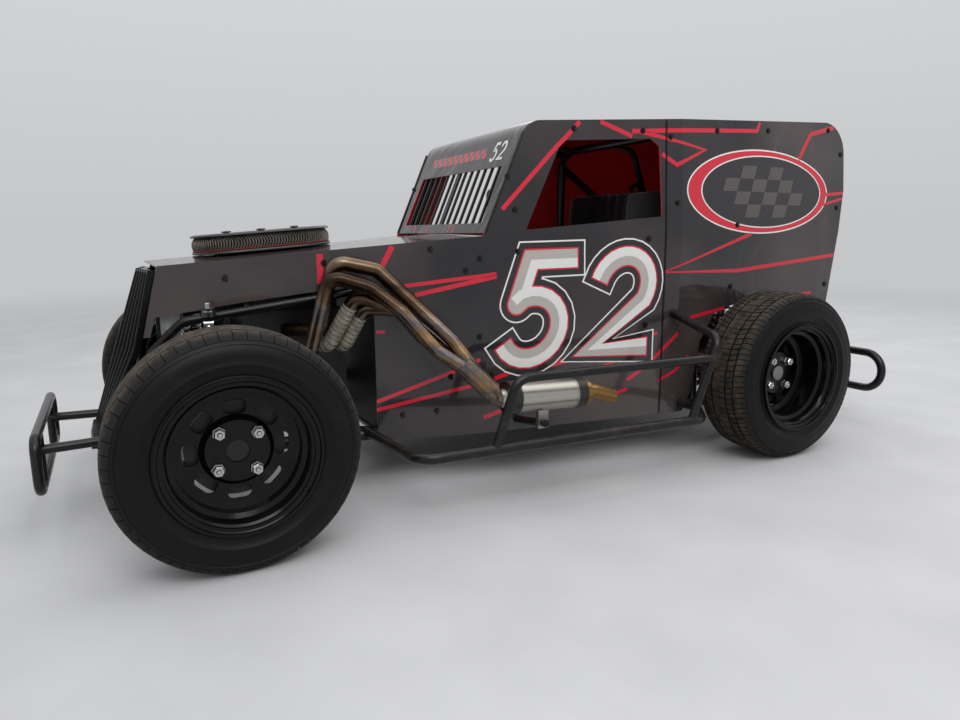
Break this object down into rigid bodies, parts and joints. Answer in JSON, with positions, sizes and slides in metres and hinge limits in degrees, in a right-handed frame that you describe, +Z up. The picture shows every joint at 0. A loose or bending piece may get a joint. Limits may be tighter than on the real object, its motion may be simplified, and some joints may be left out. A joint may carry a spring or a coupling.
{
  "type": "scaled-down oval-track racing sedan",
  "caption": "Small oval-track race car with a sheet-metal sedan body, tube frame, front engine, open wheels, working steering and rolling wheels.",
  "frame": {"origin": "on the floor, midway between the front bumper's face and the rear bumper's face, on the centre plane", "axes": "+X from the front bumper to the rear bumper, +Y to the car's right, +Z up"},
  "size_m": [3.015, 1.484, 1.2068],
  "materials": {
    "body_wrap": "gloss dark wrap with thin red stripes",
    "black_tube": "satin black",
    "cage_black": "satin black",
    "black_sheet": "satin black",
    "tyre": "dusty rubber",
    "wheel_black": "gloss black",
    "hub_steel": "machined, oiled",
    "engine_alloy": "cast",
    "exhaust_steel": "heat tinted",
    "exhaust_wrap": "woven heat wrap",
    "muffler_steel": "polished",
    "filter_pleats": "pleated",
    "spring_steel": "satin",
    "seat_cover": "woven cover",
    "wheel_grip": "soft grip"
  },
  "bodies": {
    "chassis": {"hood": "body_wrap", "cowl_side_left": "body_wrap", "cowl_side_right": "body_wrap", "side_panel_left": "body_wrap", "side_panel_right": "body_wrap", "quarter_panel_left": "body_wrap", "quarter_panel_right": "body_wrap", "roof": "body_wrap", "tail_panel": "body_wrap", "windshield_panel": "body_wrap", "frame": "black_tube", "front_bumper": "black_tube", "rear_bumper": "black_tube", "guard_bar_left": "black_tube", "guard_bar_right": "black_tube", "windshield_bars": "black_tube", "front_axle": "black_tube", "links": "black_tube", "grille": "black_tube", "roll_cage": "cage_black", "cage_stays": "cage_black", "firewall": "black_sheet", "floor_pan": "black_sheet", "dash": "black_sheet", "fuel_cell": "black_sheet", "steering_column": "hub_steel", "driveshaft": "hub_steel", "rear_axle": "hub_steel", "engine": "engine_alloy", "radiator": "engine_alloy", "headers": "exhaust_steel", "wrapped_headers": "exhaust_wrap", "muffler": "muffler_steel", "air_filter": "filter_pleats", "coilovers": "spring_steel", "seat": "seat_cover"},
    "knuckle_left": {"knuckle_left": "hub_steel"},
    "knuckle_right": {"knuckle_right": "hub_steel"},
    "tie_rod": {"tie_rod": "hub_steel"},
    "pitman_arm": {"pitman_arm": "hub_steel"},
    "drag_link": {"drag_link": "hub_steel"},
    "steering_wheel": {"steering_wheel": "wheel_grip"},
    "wheel_front_left": {"tyre_front_left": "tyre", "wheel_front_left": "wheel_black", "hub_front_left": "hub_steel"},
    "wheel_front_right": {"tyre_front_right": "tyre", "wheel_front_right": "wheel_black", "hub_front_right": "hub_steel"},
    "wheel_rear_left": {"tyre_rear_left": "tyre", "wheel_rear_left": "wheel_black", "hub_rear_left": "hub_steel"},
    "wheel_rear_right": {"tyre_rear_right": "tyre", "wheel_rear_right": "wheel_black", "hub_rear_right": "hub_steel"}
  },
  "joints": [
    {"name": "steer_left", "type": "hinge", "parent": "chassis", "child": "knuckle_left", "pos_m": [-1.0595, -0.48, 0.29], "axis": [0, 0, 1], "range_deg": [-25, 25]},
    {"name": "steer_right", "type": "hinge", "parent": "chassis", "child": "knuckle_right", "pos_m": [-1.0595, 0.48, 0.29], "axis": [0, 0, 1], "range_deg": [-25, 25]},
    {"name": "tie_rod_pivot", "type": "hinge", "parent": "knuckle_right", "child": "tie_rod", "pos_m": [-1.1645, 0.48, 0.2158], "axis": [0, 0, 1], "range_deg": [-25, 25]},
    {"name": "pitman_pivot", "type": "hinge", "parent": "chassis", "child": "pitman_arm", "pos_m": [-1.0595, 0.15, 0.346], "axis": [0, 0, 1], "range_deg": [-25, 25]},
    {"name": "drag_link_pivot", "type": "hinge", "parent": "knuckle_right", "child": "drag_link", "pos_m": [-0.9645, 0.48, 0.3642], "axis": [0, 0, 1], "range_deg": [-25, 25]},
    {"name": "steering_wheel_turn", "type": "hinge", "parent": "chassis", "child": "steering_wheel", "pos_m": [0.0005, 0, 0.775], "axis": [0.8889, -0.3239, 0.3239], "range_deg": [-150, 150]},
    {"name": "wheel_front_left_spin", "type": "hinge", "parent": "knuckle_left", "child": "wheel_front_left", "pos_m": [-1.0595, -0.62, 0.29], "axis": [0, 1, 0], "continuous": true},
    {"name": "wheel_front_right_spin", "type": "hinge", "parent": "knuckle_right", "child": "wheel_front_right", "pos_m": [-1.0595, 0.62, 0.29], "axis": [0, 1, 0], "continuous": true},
    {"name": "wheel_rear_left_spin", "type": "hinge", "parent": "chassis", "child": "wheel_rear_left", "pos_m": [0.7945, -0.634, 0.29], "axis": [0, 1, 0], "continuous": true},
    {"name": "wheel_rear_right_spin", "type": "hinge", "parent": "chassis", "child": "wheel_rear_right", "pos_m": [0.7945, 0.634, 0.29], "axis": [0, 1, 0], "continuous": true}
  ],
  "couplings": [
    {"joint": "steer_right", "follows": "steer_left", "ratio": 1},
    {"joint": "tie_rod_pivot", "follows": "steer_left", "ratio": -1},
    {"joint": "pitman_pivot", "follows": "steer_left", "ratio": 1},
    {"joint": "drag_link_pivot", "follows": "steer_left", "ratio": -1},
    {"joint": "steering_wheel_turn", "follows": "steer_left", "ratio": 6}
  ]
}
